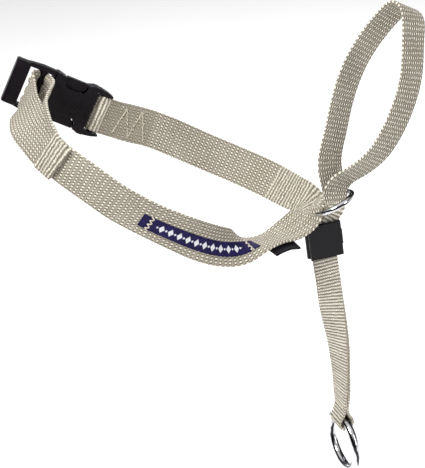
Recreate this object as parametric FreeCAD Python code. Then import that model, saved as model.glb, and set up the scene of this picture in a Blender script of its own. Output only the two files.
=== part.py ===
import FreeCAD, Part
import math
import os

# Head halter: neck band with side-release buckle, nose loop, throat ring, chin clamp and leash tab.
# Millimetres. The muzzle points along +X, +Z is up, and the lead tab hangs along -Z.
# Origin: middle of the neck opening.

V = FreeCAD.Vector

# ---- driving dimensions ----
NECK_WIDTH = 19.0
NOSE_WIDTH = 12.7
WEB = 1.4                    # webbing thickness
GAP = 0.1                    # between two webbing layers that lie on each other

BUCKLE_AT = V(-75.8, 28.5, 46.2)  # outer edge of the frame of the male half
BUCKLE_AXIS = V(0.84, 0.12, -0.52)
BUCKLE_UP = V(0.49, 0.16, 0.85)
BUCKLE_LONG = 50.5
BUCKLE_HALF = 12.5           # half width at the shoulders
BUCKLE_DEEP = 9.0
SLOT_HALF = 9.8              # half width of every webbing slot
GRIP_BAR = (-0.8, 6.4)       # deep outer bar of the male half
GRIP_DEEP = 7.4
CENTRE_BAR = (12.4, 15.2)    # bar the adjuster webbing runs over
MOUTH = 19.8                 # where the female half begins
FACE_END = 42.4
FEMALE_BAR = (44.9, 47.7)
BAR_THICK = 2.4
CAVITY_HALF = 10.6           # half width inside the female half
CAVITY_DEEP = 5.2
CAVITY_END = 39.0
WINDOW_MIDDLE = 31.0
WINDOW_HALF = 5.6
WINDOW_FLOOR = 7.2
PRONG_DEEP = 4.4
ARM_ROOT = 23.6

RING_AT = V(76.3, -1, -25.5)
RING_NORMAL = V(-0.4, 0.15, 0.9)
RING_MEAN = 10.1             # mean radius of the throat ring
RING_WIRE = 2.8
FOLD_RADIUS = 2.85           # neck webbing fold through the ring
FOLD_BACK = 8.8
FOLD_TURN = -18.0            # where on the ring the fold sits, about the ring's normal

CHIN_YAW = 10.0
CHIN_LINE = V(0.05, 0, -1)   # straight stretch that the clamp slides on
CLAMP_AT = V(69.9, -2.35, -43.6)
CLAMP_HALF = 8.7
CLAMP_TALL = 18.4
CLAMP_DEEP = 8.2
CLAMP_CAVITY = (7.0, 1.8)   # half width and half depth inside
CLAMP_PIN = (-8.2, 0.55)     # distance to the left, radius
KNUCKLE = 1.1                # hinge barrel radius

LEASH_TOP = V(74.0, -2, -150.8)  # wire centre at the top of the leash ring
LEASH_MEAN = 15.1
LEASH_WIRE = 4.3
LEASH_YAW = -72.0
LEASH_FOLD = 3.7


def unit(v):
    u = V(v)
    u.normalize()
    return u


def square_to(v, axis):
    return unit(v - axis * v.dot(axis))


def frame(origin, x_dir, y_dir):
    """Placement whose local X and Y follow the two directions."""
    x = unit(x_dir)
    y = square_to(y_dir, x)
    z = x.cross(y)
    m = FreeCAD.Matrix(x.x, y.x, z.x, origin.x, x.y, y.y, z.y, origin.y, x.z, y.z, z.z, origin.z, 0, 0, 0, 1)
    return FreeCAD.Placement(m)


def box(x0, x1, y0, y1, z0, z1):
    return Part.makeBox(x1 - x0, y1 - y0, z1 - z0, V(x0, y0, z0))


def placed(shape, place):
    moved = shape.copy()
    moved.Placement = place.multiply(moved.Placement)
    return moved


def between(values, knots, i, f):
    """Catmull-Rom value a fraction f of the way from entry i to the next."""
    last = len(values) - 1
    span = knots[i + 1] - knots[i]
    slopes = []
    for k in (i, i + 1):
        low = max(k - 1, 0)
        high = min(k + 1, last)
        slopes.append((values[high] - values[low]) * (span / (knots[high] - knots[low])))
    h = f * f * (3 - 2 * f)
    rise = f * (1 - f) * (1 - f)
    fall = f * f * (f - 1)
    return values[i] * (1 - h) + values[i + 1] * h + slopes[0] * rise + slopes[1] * fall


def ribbon_sections(route, per_span):
    """Route is a list of (centre, across, width); returns stations along it."""
    centres = [r[0] for r in route]
    across = [unit(r[1]) for r in route]
    widths = [r[2] for r in route]
    knots = [0.0]
    for a, b in zip(centres, centres[1:]):
        knots.append(knots[-1] + a.distanceToPoint(b))
    path = Part.BSplineCurve()
    path.interpolate(Points=centres, Parameters=knots)
    stations = []
    for i in range(len(route) - 1):
        steps = range(per_span + 1) if i == len(route) - 2 else range(per_span)
        for j in steps:
            f = j / per_span
            u = knots[i] + (knots[i + 1] - knots[i]) * f
            along = unit(path.tangent(u)[0])
            side = square_to(between(across, knots, i, f), along)
            stations.append((path.value(u), along, side, between(widths, knots, i, f)))
    return stations


def swept(corner_rows):
    """Solid through the four corners of every section, straight from one section to the next."""
    ends = [Part.makePolygon(row + [row[0]]) for row in (corner_rows[0], corner_rows[-1])]
    faces = [Part.Face(end) for end in ends]
    for a, b in zip(corner_rows, corner_rows[1:]):
        for i in range(4):
            j = (i + 1) % 4
            faces.append(Part.makeRuledSurface(Part.makeLine(a[i], a[j]), Part.makeLine(b[i], b[j])))
    shell = Part.makeShell(faces)
    shell.sewShape()
    return Part.makeSolid(shell)


def ribbon(route, thick=WEB, per_span=4):
    """Flat webbing as one solid."""
    rows = []
    for centre, along, side, width in ribbon_sections(route, per_span):
        half = side * (width / 2)
        lift = along.cross(side) * (thick / 2)
        rows.append([centre + half + lift, centre - half + lift, centre - half - lift, centre + half - lift])
    return swept(rows)


def nearest(stations, point):
    return min(range(len(stations)), key=lambda i: stations[i][0].distanceToPoint(point))


def on_ribbon(station, offset, shift):
    """Point beside a station: offset along its face normal, shift across the webbing."""
    centre, along, side, width = station
    return centre + along.cross(side) * offset + side * shift


def patch(route, start, end, offset, width, thick, shift=0.0):
    """Thin piece lying on a ribbon, between the stations nearest to two points."""
    stations = ribbon_sections(route, 16)
    first = nearest(stations, start)
    last = nearest(stations, end)
    rows = []
    for i in [first] + [k for k in range(first + 1, last) if k % 4 == 0] + [last]:
        rows.append([on_ribbon(stations[i], offset + thick / 2 * lift, shift + width / 2 * half)
                     for half, lift in ((1, 1), (-1, 1), (-1, -1), (1, -1))])
    return swept(rows)


def thread_bars(route, start, end, offset, zigzag, thick):
    """Zigzag seam: one small bar per stitch run, through (fraction along, shift across) points."""
    stations = ribbon_sections(route, 16)
    first = nearest(stations, start)
    last = nearest(stations, end)
    knots = []
    for fraction, shift in zigzag:
        station = stations[round(first + (last - first) * fraction)]
        knots.append((on_ribbon(station, offset, shift), station[1].cross(station[2])))
    bars = []
    for (a, up), (b, up_b) in zip(knots, knots[1:]):
        run = unit(b - a)
        long = a.distanceToPoint(b) - thick * 1.5
        place = frame((a + b) * 0.5, run, square_to(up, run))
        bars.append(placed(box(-long / 2, long / 2, -thick / 3, thick / 3, -thick / 2, thick / 2), place))
    return Part.makeCompound(bars)


def torus(place, mean, wire):
    return placed(Part.makeTorus(mean, wire / 2), place)


buckle = frame(BUCKLE_AT, BUCKLE_AXIS, BUCKLE_UP)
buckle_x = unit(BUCKLE_AXIS)
buckle_y = square_to(BUCKLE_UP, buckle_x)
buckle_z = buckle_x.cross(buckle_y)
ring_z = unit(RING_NORMAL)
ring_x = square_to(V(1, 0, 0), ring_z)
ring_y = ring_z.cross(ring_x)


def on_buckle(x, y, z):
    return buckle.multVec(V(x, y, z))


def yawed(degrees):
    """Direction from the right to the left edge of webbing that hangs at this yaw."""
    a = math.radians(degrees)
    return V(-math.cos(a), -math.sin(a), 0)


# ---- side-release buckle, drawn flat in its own frame ----
def polygon_slab(points, z0, z1):
    corners = [V(x, y, z0) for x, y in points]
    return Part.Face(Part.makePolygon(corners + [corners[0]])).extrude(V(0, 0, z1 - z0))


def mirrored(shape):
    return shape.mirror(V(0, 0, 0), V(0, 1, 0))


def both_sides(points):
    """Closes an outline given for the upper half by mirroring it."""
    return points + [(x, -y) for x, y in reversed(points)]


def rounded_bar(x0, x1, half, thick, radius):
    bar = box(x0, x1, -half, half, -thick / 2, thick / 2)
    return bar.makeFillet(radius, [e for e in bar.Edges if abs(e.tangentAt(e.FirstParameter).y) > 0.9])


def window(grow):
    """D-shaped thumb window, larger than the thumb pad by grow all round."""
    corner = 3.0
    left = WINDOW_MIDDLE - WINDOW_HALF - grow
    right = WINDOW_MIDDLE + WINDOW_HALF + grow
    floor = WINDOW_FLOOR - grow
    shape = box(left, right, floor + corner, 16, -8, 8)
    shape = shape.fuse(box(left + corner, right - corner, floor, 16, -8, 8))
    for x in (left + corner, right - corner):
        shape = shape.fuse(Part.makeCylinder(corner, 16, V(x, floor + corner, -8)))
    return shape


def buckle_female():
    half = BUCKLE_HALF
    deep = BUCKLE_DEEP / 2
    body = polygon_slab(both_sides([(MOUTH, half - 0.1), (21.5, half), (24.9, half - 0.9), (37.1, half - 0.8),
                                    (40, half + 0.2), (43.5, half + 0.1), (47.5, half - 0.6),
                                    (BUCKLE_LONG, SLOT_HALF + 1.1), (BUCKLE_LONG, SLOT_HALF + 0.2),
                                    (FACE_END, SLOT_HALF + 0.2)]), -deep, deep)
    for z in (3.2, -9):
        body = body.cut(box(FACE_END, 60, -20, 20, z, z + 5.8))
    body = body.fuse(rounded_bar(*FEMALE_BAR, SLOT_HALF + 0.8, BAR_THICK, 0.8))
    inside = CAVITY_DEEP / 2
    body = body.cut(box(MOUTH - 1, CAVITY_END, -CAVITY_HALF, CAVITY_HALF, -inside, inside))
    body = body.cut(window(0.4)).cut(mirrored(window(0.4)))
    return body.removeSplitter()


def buckle_male():
    rail = 2.9
    end = MOUTH - 0.3
    outer = both_sides([(2, 11.0), (7, 11.9), (13, 12.5), (end, 12.3)])
    inner = both_sides([(GRIP_BAR[1] - 0.5, SLOT_HALF), (end - 1.2, SLOT_HALF)])
    ring = polygon_slab(outer, -rail, rail).cut(polygon_slab(inner, -rail, rail))
    deep = GRIP_DEEP / 2
    bevel = 1.5
    grip = polygon_slab([(-deep, GRIP_BAR[0] + bevel), (bevel - deep, GRIP_BAR[0]), (deep - bevel, GRIP_BAR[0]),
                         (deep, GRIP_BAR[0] + bevel), (deep, GRIP_BAR[1] - 0.6), (deep - 0.6, GRIP_BAR[1]),
                         (0.6 - deep, GRIP_BAR[1]), (-deep, GRIP_BAR[1] - 0.6)], -11.4, 11.4)
    grip.rotate(V(0, 0, 0), V(1, 1, 1), -120)
    centre = rounded_bar(*CENTRE_BAR, SLOT_HALF + 0.8, 3.0, 1.1)
    base = box(end - 1.2, ARM_ROOT, -10.2, 10.2, -2.2, 2.2)
    guide = box(ARM_ROOT - 0.1, CAVITY_END - 0.8, -1.5, 1.5, -1.7, 1.7)
    guide = guide.makeFillet(1.0, [e for e in guide.Edges if e.CenterOfMass.x > CAVITY_END - 0.9])
    return ring.fuse([grip, centre, base, guide]).removeSplitter()


def release_arm():
    """Upper spring arm; its root is at the base of the male half."""
    half = PRONG_DEEP / 2
    beam = polygon_slab([(ARM_ROOT + 0.05, 4.6), (ARM_ROOT + 0.05, 7.0), (27, 8.2), (34, 8.4),
                         (34, 6.4), (27.5, 5.8)], -half, half)
    pad = window(0.0).common(box(20, 45, 0, BUCKLE_HALF - 0.6, -half, half))
    return beam.fuse(pad).removeSplitter()


# ---- clamp, drawn upright in its own frame: X to the right, Y up, Z towards the front ----
clamp_y = CHIN_LINE * -1
clamp = frame(CLAMP_AT, square_to(yawed(CHIN_YAW) * -1, unit(clamp_y)), clamp_y)


def knuckle(y0, y1, radius):
    return Part.makeCylinder(radius, y1 - y0, V(CLAMP_PIN[0], y0, 0), V(0, 1, 0))


def clamp_shell(z0, z1):
    """Half of a rectangular tube around the strap, with a flared top."""
    tall = CLAMP_TALL / 2
    wide, deep = CLAMP_CAVITY
    shell = box(CLAMP_PIN[0], CLAMP_HALF, -tall, tall, z0, z1)
    shell = shell.cut(box(-wide, wide, -20, 20, -deep, deep))
    return shell.cut(box(-wide, wide + 1.1, tall - 5, 20, -deep - 0.5, deep + 0.5))


def clamp_body():
    tall = CLAMP_TALL / 2
    shell = clamp_shell(-CLAMP_DEEP / 2, -0.05)
    for y0, y1 in ((-tall, -3.2), (3.2, tall)):
        shell = shell.fuse(knuckle(y0, y1, KNUCKLE))
    shell = shell.cut(knuckle(-3.2, 3.2, KNUCKLE + 0.25))
    for y in (-6, -2, 2):
        shell = shell.fuse(box(-5.5, 5.5, y - 0.5, y + 0.5, -CLAMP_CAVITY[1] - 0.2, -CLAMP_CAVITY[1] + 0.2))
    shell = shell.cut(knuckle(-20, 20, CLAMP_PIN[1]))
    return shell.cut(box(-CLAMP_CAVITY[0], 0, -20, 20, -CLAMP_CAVITY[1] + 0.2, 5)).removeSplitter()


def clamp_cover():
    tall = CLAMP_TALL / 2
    shell = clamp_shell(0.1, CLAMP_DEEP / 2)
    shell = shell.fuse(knuckle(-3, 3, KNUCKLE))
    for y0, y1 in ((-tall - 1, -3), (3, tall + 1)):
        shell = shell.cut(knuckle(y0, y1, KNUCKLE + 0.25))
    latch = box(CLAMP_HALF + 0.15, CLAMP_HALF + 0.85, -4, 4, -1.5, 2.4)
    shell = shell.fuse(latch).fuse(box(CLAMP_HALF - 0.5, CLAMP_HALF + 0.85, -4, 4, 1.2, 2.4))
    shell = shell.cut(knuckle(-20, 20, CLAMP_PIN[1] + 0.1))
    return shell.cut(box(-CLAMP_CAVITY[0], 0, -20, 20, -5, CLAMP_CAVITY[1] - 0.2)).removeSplitter()


def clamp_pin():
    return knuckle(-CLAMP_TALL / 2, CLAMP_TALL / 2, CLAMP_PIN[1])


# ---- routes of the webbing: (centre, direction across towards the upper or left edge, width) ----
far_run = [
    (V(-13, 40, 9.3), V(0.48, 0.3, 0.79), NECK_WIDTH),
    (V(12, 44, -6.5), V(0.48, 0.37, 0.79), NECK_WIDTH),
    (V(34, 40, -18), V(0.48, 0.37, 0.79), NECK_WIDTH),
    (V(50, 27, -24), V(0.5, 0.45, 0.75), 18.0),
    (V(58.5, 16, -23.2), V(0.52, 0.55, 0.65), 15.0),
]
near_run = [
    (V(67.4, 0.8, -32.3), V(-0.12, 0.98, 0.0), 10.8),
    (V(64.7, -0.4, -32.2), V(-0.26, 0.96, 0.1), 12.2),
    (V(60.8, -3.4, -31.6), V(-0.35, 0.9, 0.3), 14.0),
    (V(53, -9.5, -33.6), V(-0.3, 0.93, 0.1), 16.0),
    (V(44, -15.5, -34.6), V(-0.2, 0.93, -0.2), 17.5),
    (V(34.5, -23, -33.0), V(-0.1, 0.94, -0.05), NECK_WIDTH),
    (V(21.5, -33, -28.3), V(0.15, 0.6, 0.75), NECK_WIDTH),
    (V(2, -45, -14), V(0.38, 0.0, 0.9), NECK_WIDTH),
    (V(-12.5, -49, -3), V(0.4, -0.15, 0.88), NECK_WIDTH),
    (V(-27.5, -49, 8.5), V(0.42, -0.15, 0.88), NECK_WIDTH),
    (V(-40, -45, 18.7), V(0.42, -0.1, 0.88), NECK_WIDTH),
]
chin_route = [
    (V(77.2, 1.2, -17.8), V(-1, -0.1, 0.0), 12.0),
    (V(77.4, 0.0, -21.5), V(-1, -0.12, 0.0), 10.0),
    (V(77.2, -0.9, -25.3), V(-1, -0.14, 0.0), 8.4),
    (V(76.2, -1.7, -29.6), V(-1, -0.16, 0.1), 7.0),
    (V(73.1, -2.35, -33.6), V(-1, -0.17, 0.2), 5.8),
    (V(70.9, -2.45, -37.0), V(-1, -0.18, 0.3), 7.4),
    (V(70.0, -2.5, -41.0), V(-1, -0.18, 0.2), 11.0),
    (V(69.7, -2.5, -47.0), yawed(CHIN_YAW), 12.5),
    (V(70.35, -2.5, -57.5), yawed(CHIN_YAW), NOSE_WIDTH),
    (V(71.1, -2.5, -67.5), yawed(CHIN_YAW), NOSE_WIDTH),
]
nose_loop_route = [
    (V(77.0, 2.05, -16.4), V(-0.97, -0.2, 0.1), 12.2),
    (V(76.0, 3.8, -8), V(-0.95, -0.3, 0.15), NOSE_WIDTH),
    (V(79.7, 7.5, 7), V(-0.9, -0.37, 0.25), NOSE_WIDTH),
    (V(85, 12, 23), V(-0.88, -0.38, 0.28), NOSE_WIDTH),
    (V(92, 16, 38), V(-0.88, -0.36, 0.3), NOSE_WIDTH),
    (V(101, 18, 51), V(-0.88, -0.3, 0.36), NOSE_WIDTH),
    (V(109.5, 16.5, 61), V(-0.87, -0.25, 0.44), NOSE_WIDTH),
    (V(115.8, 11, 66.8), V(-0.85, -0.2, 0.5), NOSE_WIDTH),
    (V(118.6, 4, 64.6), V(-0.85, -0.23, 0.5), NOSE_WIDTH),
    (V(118, -2, 54.5), V(-0.86, -0.4, 0.33), NOSE_WIDTH),
    (V(115.5, -7, 38), V(-0.87, -0.42, 0.3), NOSE_WIDTH),
    (V(108, -10, 18), V(-0.87, -0.38, 0.33), NOSE_WIDTH),
    (V(98, -8.5, 1), V(-0.85, -0.4, 0.4), NOSE_WIDTH),
    (V(86.5, -4, -9.5), V(-0.85, -0.4, 0.45), NOSE_WIDTH),
    (V(80.5, -1.4, -13.6), V(-0.8, -0.4, 0.55), 12.2),
]
tab_line = [
    (71.15, -2.5, -69.3, CHIN_YAW),
    (71.9, -2.5, -79, -10.0),
    (73.1, -2.5, -91, -28.0),
    (74.2, -2.5, -103, -42.0),
    (74.7, -2.5, -115, -53.0),
    (74.8, -2.4, -127, -61.0),
    (74.4, -2.2, -139, LEASH_YAW + 3),
    (74.1, -2.0, -144.5, LEASH_YAW),
]


def fold(centre, out_dir, lift_dir, radius, across, width, turns=(90, 45, 0, -45, -90)):
    """Half turn: starts on the lift side, goes out along out_dir and comes back."""
    route = []
    for angle in turns:
        a = math.radians(angle)
        route.append((centre + out_dir * (radius * math.cos(a)) + lift_dir * (radius * math.sin(a)), across, width))
    return route


def neck_route():
    layer = (WEB + GAP) / 2
    up = buckle_y
    flap_lift = V(0.25, -0.93, 0.28) * (2 * layer)
    start = [
        (far_run[0][0] - flap_lift, far_run[0][1], NECK_WIDTH),
        (on_buckle(60, 0, -layer) - buckle_z * 1.2, up, NECK_WIDTH),
        (on_buckle(51.5, 0, -layer), up, NECK_WIDTH),
    ]
    around = BAR_THICK / 2 + WEB / 2 + 0.15
    bar_turn = fold(on_buckle(FEMALE_BAR[0] + 1.1, 0, 0), buckle_x * -1, buckle_z * -1, around, up, NECK_WIDTH)
    out = [(on_buckle(51.5, 0, layer), up, NECK_WIDTH)]
    out_dir = ring_x * math.cos(math.radians(FOLD_TURN)) + ring_y * math.sin(math.radians(FOLD_TURN))
    ring_turn = fold(RING_AT - out_dir * FOLD_BACK, out_dir, ring_z, FOLD_RADIUS, ring_z.cross(out_dir), 10.5)
    return start + bar_turn + out + far_run + ring_turn + near_run


def adjuster_route():
    up = buckle_y
    inner = [
        (V(-40.75, -44.55, 19.3), V(0.42, -0.1, 0.88), NECK_WIDTH),
        (V(-52, -37, 27.5), V(0.45, -0.05, 0.89), NECK_WIDTH),
        (V(-58.5, -20, 33.5), V(0.5, 0.05, 0.86), NECK_WIDTH),
        (V(-60.5, 0, 36.5), V(0.5, 0.1, 0.85), NECK_WIDTH),
        (on_buckle(17.2, 0, 8), up, NECK_WIDTH),
    ]
    radius = 1.5 + WEB / 2 + 0.15
    middle = sum(CENTRE_BAR) / 2
    turn = [
        (on_buckle(middle + radius * 0.95, 0, 1.0), up, NECK_WIDTH),
        (on_buckle(middle + radius * 0.75, 0, -radius * 0.75), up, NECK_WIDTH),
        (on_buckle(middle, 0, -radius), up, NECK_WIDTH),
        (on_buckle(middle - radius * 0.75, 0, -radius * 0.75), up, NECK_WIDTH),
        (on_buckle(middle - radius * 0.95, 0, 1.0), up, NECK_WIDTH),
    ]
    tail = [
        (on_buckle(10.4, 0, 8), up, NECK_WIDTH),
        (V(-71.5, 3, 38), V(0.52, 0.15, 0.84), NECK_WIDTH),
        (V(-67, -17, 35.5), V(0.52, 0.05, 0.85), NECK_WIDTH),
        (V(-59.5, -32, 31), V(0.5, -0.05, 0.87), NECK_WIDTH),
        (V(-49.5, -41.3, 25.2), V(0.48, -0.1, 0.88), NECK_WIDTH),
    ]
    return inner + turn + tail


def tab_layer(side):
    """One layer of the lead tab; side is 1 at the back and -1 at the front."""
    layer = (WEB + GAP) / 2
    route = []
    for x, y, z, yaw in tab_line:
        across = yawed(yaw)
        back = V(0, 0, -1).cross(across)
        route.append((V(x, y, z) + back * (side * layer), across, NOSE_WIDTH))
    return route


def tab_route():
    """Front layer down, round the ring wire, and up again as the back layer."""
    across = yawed(LEASH_YAW)
    back = V(0, 0, -1).cross(across)
    width = 10.4
    front = tab_layer(-1) + [(LEASH_TOP + V(0, 0, 2.9) - back * 1.95, across, 11.8)]
    turn = fold(LEASH_TOP - V(0, 0, 1.3), V(0, 0, -1), back * -1, LEASH_FOLD, across, width)
    rear = [(LEASH_TOP + V(0, 0, 2.9) + back * 1.95, across, 11.8)] + tab_layer(1)[::-1]
    return front + turn + rear


# ---- build ----
FACE = WEB / 2
neck = neck_route()
adjuster = adjuster_route()
tab = tab_route()
arm = release_arm()
leash_place = frame(LEASH_TOP - V(0, 0, LEASH_MEAN), V(0, 0, 1), yawed(LEASH_YAW))

nodes = {}
nodes["buckle_female"] = placed(buckle_female(), buckle)
nodes["buckle_male"] = placed(buckle_male(), buckle)
nodes["release_arm_upper"] = placed(arm, buckle)
nodes["release_arm_lower"] = placed(mirrored(arm), buckle)
nodes["neck_strap"] = ribbon(neck)
nodes["adjuster_strap"] = ribbon(adjuster)
nodes["tail_hem"] = patch(adjuster, V(-54.5, -37.5, 28.3), V(-49.5, -41.3, 25.2), FACE + 0.65, NECK_WIDTH, 1.2)
nodes["buckle_stitching"] = thread_bars(
    neck, V(-28, 36, 17), V(-12, 40.5, 8.8), FACE + 0.35,
    [(0, -7), (0.33, 7), (0.5, -7), (0.67, 7), (1, -7)], 0.5)
nodes["label"] = patch(neck, V(34.5, -23, -33), V(-15.5, -49.3, -0.7), -FACE - 0.3, 7.0, 0.5, -1.2)
nodes["label_tack_front"] = patch(neck, V(30.5, -26, -32.2), V(29, -27, -31.6), -FACE - 0.85, 7.6, 0.5, -1.2)
nodes["label_tack_rear"] = patch(neck, V(-12.5, -49, -3), V(-14, -49, -2), -FACE - 0.85, 7.6, 0.5, -1.2)
nodes["care_tag"] = patch(neck, V(50, -12, -34), V(36.5, -21.5, -33.5), FACE + 0.5, 8.0, 0.8, -9.0)
nodes["tag_tack"] = patch(neck, V(45.5, -14.5, -34.4), V(44, -15.5, -34.6), FACE + 1.2, 5.0, 0.4, -6.5)
nodes["throat_ring"] = torus(frame(RING_AT, ring_x, ring_y), RING_MEAN, RING_WIRE)
nodes["nose_loop"] = ribbon(nose_loop_route)
nodes["chin_strap"] = ribbon(chin_route, 2 * WEB + GAP)
nodes["clamp_body"] = placed(clamp_body(), clamp)
nodes["clamp_cover"] = placed(clamp_cover(), clamp)
nodes["clamp_pin"] = placed(clamp_pin(), clamp)
nodes["lead_tab"] = ribbon(tab)
for name, z in (("lead_tack_upper", -133.5), ("lead_tack_lower", -141.5)):
    nodes[name] = patch(tab[:8], V(74, -2.3, z), V(74, -2.3, z - 1.6), -FACE - 0.3, 9.0, 0.5)
nodes["leash_ring"] = torus(leash_place, LEASH_MEAN, LEASH_WIRE)

os.makedirs("parts", exist_ok=True)
for name, shape in nodes.items():
    shape.exportStep("parts/" + name + ".step")
    print(name, shape.isValid(), len(shape.Solids), round(shape.Volume))
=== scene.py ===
import math

import bpy
import numpy as np
from mathutils import Matrix, Vector


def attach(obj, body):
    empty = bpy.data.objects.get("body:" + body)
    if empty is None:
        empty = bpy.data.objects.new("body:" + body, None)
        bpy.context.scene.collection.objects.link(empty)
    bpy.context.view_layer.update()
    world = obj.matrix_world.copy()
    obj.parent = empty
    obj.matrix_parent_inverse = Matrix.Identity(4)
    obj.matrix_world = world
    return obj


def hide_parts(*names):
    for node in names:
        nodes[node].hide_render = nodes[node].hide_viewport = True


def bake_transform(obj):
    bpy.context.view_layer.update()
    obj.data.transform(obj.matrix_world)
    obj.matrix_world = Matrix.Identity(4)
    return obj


# Head halter. Lengths below are millimetres until a mesh is made.

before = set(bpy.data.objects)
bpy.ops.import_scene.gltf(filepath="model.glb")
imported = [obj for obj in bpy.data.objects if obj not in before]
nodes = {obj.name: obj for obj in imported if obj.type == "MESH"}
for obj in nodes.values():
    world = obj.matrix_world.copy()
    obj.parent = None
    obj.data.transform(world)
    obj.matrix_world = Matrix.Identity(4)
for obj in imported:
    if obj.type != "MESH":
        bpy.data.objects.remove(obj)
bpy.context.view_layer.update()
MM = 0.001

NECK = 19.0          # width of the neck band's webbing
NOSE = 12.7          # and of the nose loop's
WEB = 1.4            # thickness of both
GAP = 0.1
LAYER = (WEB + GAP) / 2
ROW = 2.35           # weave: one row of floats along the webbing
COLUMN = 1.55        # and one float across it
FEMALE_BAR = 46.0    # bars of the buckle, along its own x
CENTRE_BAR = 13.8
BAR_WRAP = 2.05      # webbing centre line round the female half's bar
RING_WRAP = 2.5      # and round the throat ring's wire
RIBS_PER_ROW = 1.35  # fine ribs of gathered webbing


# ---- vectors ----
def vec(x, y, z):
    return np.array((x, y, z), float)


def unit(v):
    v = np.asarray(v, float)
    return v / np.linalg.norm(v, axis=-1, keepdims=True)


def square_to(v, axis):
    v = np.asarray(v, float)
    return unit(v - axis * np.sum(v * axis, axis=-1, keepdims=True))


def smooth(x):
    x = np.clip(x, 0, 1)
    return x * x * (3 - 2 * x)


buckle_at = vec(-75.8, 28.5, 46.2)
buckle_x = unit(vec(0.84, 0.12, -0.52))
buckle_y = square_to(vec(0.49, 0.16, 0.85), buckle_x)
buckle_z = np.cross(buckle_x, buckle_y)
ring_at = vec(76.3, -1, -25.5)
ring_z = unit(vec(-0.4, 0.15, 0.9))
ring_x = square_to(vec(1, 0, 0), ring_z)
ring_y = np.cross(ring_z, ring_x)
fold_turn = math.radians(-18)
ring_out = ring_x * math.cos(fold_turn) + ring_y * math.sin(fold_turn)
ring_along = np.cross(ring_z, ring_out)
fold_centre = ring_at - ring_out * 8.8


def on_buckle(x, y, z):
    return buckle_at + buckle_x * x + buckle_y * y + buckle_z * z


def yawed(degrees):
    a = math.radians(degrees)
    return vec(-math.cos(a), -math.sin(a), 0)


# ---- routes: (centre, direction across, width) ----
def fold(centre, out_dir, lift_dir, radius, across, width):
    """Half turn that starts on the lift side and goes out along out_dir."""
    route = []
    for angle in (90, 45, 0, -45, -90):
        out = out_dir * (radius * math.cos(math.radians(angle)))
        lift = lift_dir * (radius * math.sin(math.radians(angle)))
        route.append((centre + out + lift, across, width))
    return route


flap_lift = vec(0.25, -0.93, 0.28) * (2 * LAYER)
far_first = (vec(-13, 40, 9.3), vec(0.48, 0.3, 0.79), NECK)
buckle_part = [
    (far_first[0] - flap_lift, far_first[1], NECK - 0.3),
    (on_buckle(60, 0, -LAYER) - buckle_z * 1.2, buckle_y, NECK - 0.3),
    (on_buckle(51.5, 0, -LAYER), buckle_y, NECK - 0.3),
] + fold(on_buckle(FEMALE_BAR, 0, 0), -buckle_x, -buckle_z, BAR_WRAP, buckle_y, NECK - 0.4) + [
    (on_buckle(51.5, 0, LAYER), buckle_y, NECK - 0.2),
]
far_part = [
    far_first,
    (vec(12, 44, -6.5), vec(0.48, 0.37, 0.79), NECK),
    (vec(34, 40, -18), vec(0.48, 0.37, 0.79), NECK),
    (vec(50, 27, -23.4), vec(0.48, 0.42, 0.78), NECK),
    (vec(60.4, 15.5, -26.4), vec(0.52, 0.36, 0.77), 17.8),
    (vec(65.6, 8, -28.4), vec(0.44, 0.62, 0.6), 15.6),
]
ring_part = fold(fold_centre, ring_out, -ring_z, RING_WRAP, ring_along, 18)
for step, gathered in enumerate((13.5, 15.5)):
    ring_part[step] = (ring_part[step][0], ring_along, gathered)
near_part = [
    (vec(64.4, 0.2, -28.9), vec(0.24, 0.95, 0.12), 18.0),
    (vec(60.8, -3.2, -31.1), vec(0.1, 0.92, 0.36), 18.0),
    (vec(53, -9.5, -33.8), vec(-0.12, 0.94, 0.22), 18.0),
    (vec(44, -15.5, -34.6), vec(-0.15, 0.93, -0.1), 18.4),
    (vec(34.5, -23, -33.0), vec(-0.1, 0.94, -0.05), NECK),
    (vec(21.5, -33, -28.3), vec(0.15, 0.6, 0.75), NECK),
    (vec(2, -45, -14), vec(0.38, 0.0, 0.9), NECK),
    (vec(-12.5, -49, -3), vec(0.4, -0.15, 0.88), NECK),
    (vec(-27.5, -49, 8.5), vec(0.42, -0.15, 0.88), NECK),
    (vec(-40, -45, 18.7), vec(0.42, -0.1, 0.88), NECK),
]
adjuster_part = [
    (vec(-52, -37, 27.5), vec(0.45, -0.05, 0.89), NECK),
    (vec(-58.5, -20, 33.5), vec(0.5, 0.05, 0.86), NECK),
    (vec(-60.5, 0, 36.5), vec(0.5, 0.1, 0.85), NECK),
    (on_buckle(17.2, 0, 8), buckle_y, NECK - 0.4),
    (on_buckle(15.9, 0, 1.0), buckle_y, NECK - 0.6),
    (on_buckle(15.5, 0, -1.76), buckle_y, NECK - 0.6),
    (on_buckle(CENTRE_BAR, 0, -2.35), buckle_y, NECK - 0.6),
    (on_buckle(12.05, 0, -1.76), buckle_y, NECK - 0.6),
    (on_buckle(11.6, 0, 1.0), buckle_y, NECK - 0.6),
    (on_buckle(8.2, 0, 7.5), buckle_y, NECK - 0.4),
    (vec(-67.6, 15, 40.2), vec(0.58, -0.2, 0.79), NECK),
    (vec(-68.4, 7, 38.9), vec(0.72, -0.3, 0.62), NECK),
    (vec(-67.2, -2, 37.7), vec(0.83, -0.33, 0.42), NECK),
    (vec(-64, -16, 35.6), vec(0.93, -0.1, 0.34), NECK),
    (vec(-58.7, -28, 32.9), vec(0.85, -0.08, 0.5), NECK),
    (vec(-55.1, -36, 30.5), vec(0.68, -0.11, 0.72), NECK),
    (vec(-49.5, -41.3, 25.2), vec(0.48, -0.1, 0.88), NECK),
]
neck_route = buckle_part + far_part + ring_part + near_part + adjuster_part

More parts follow.
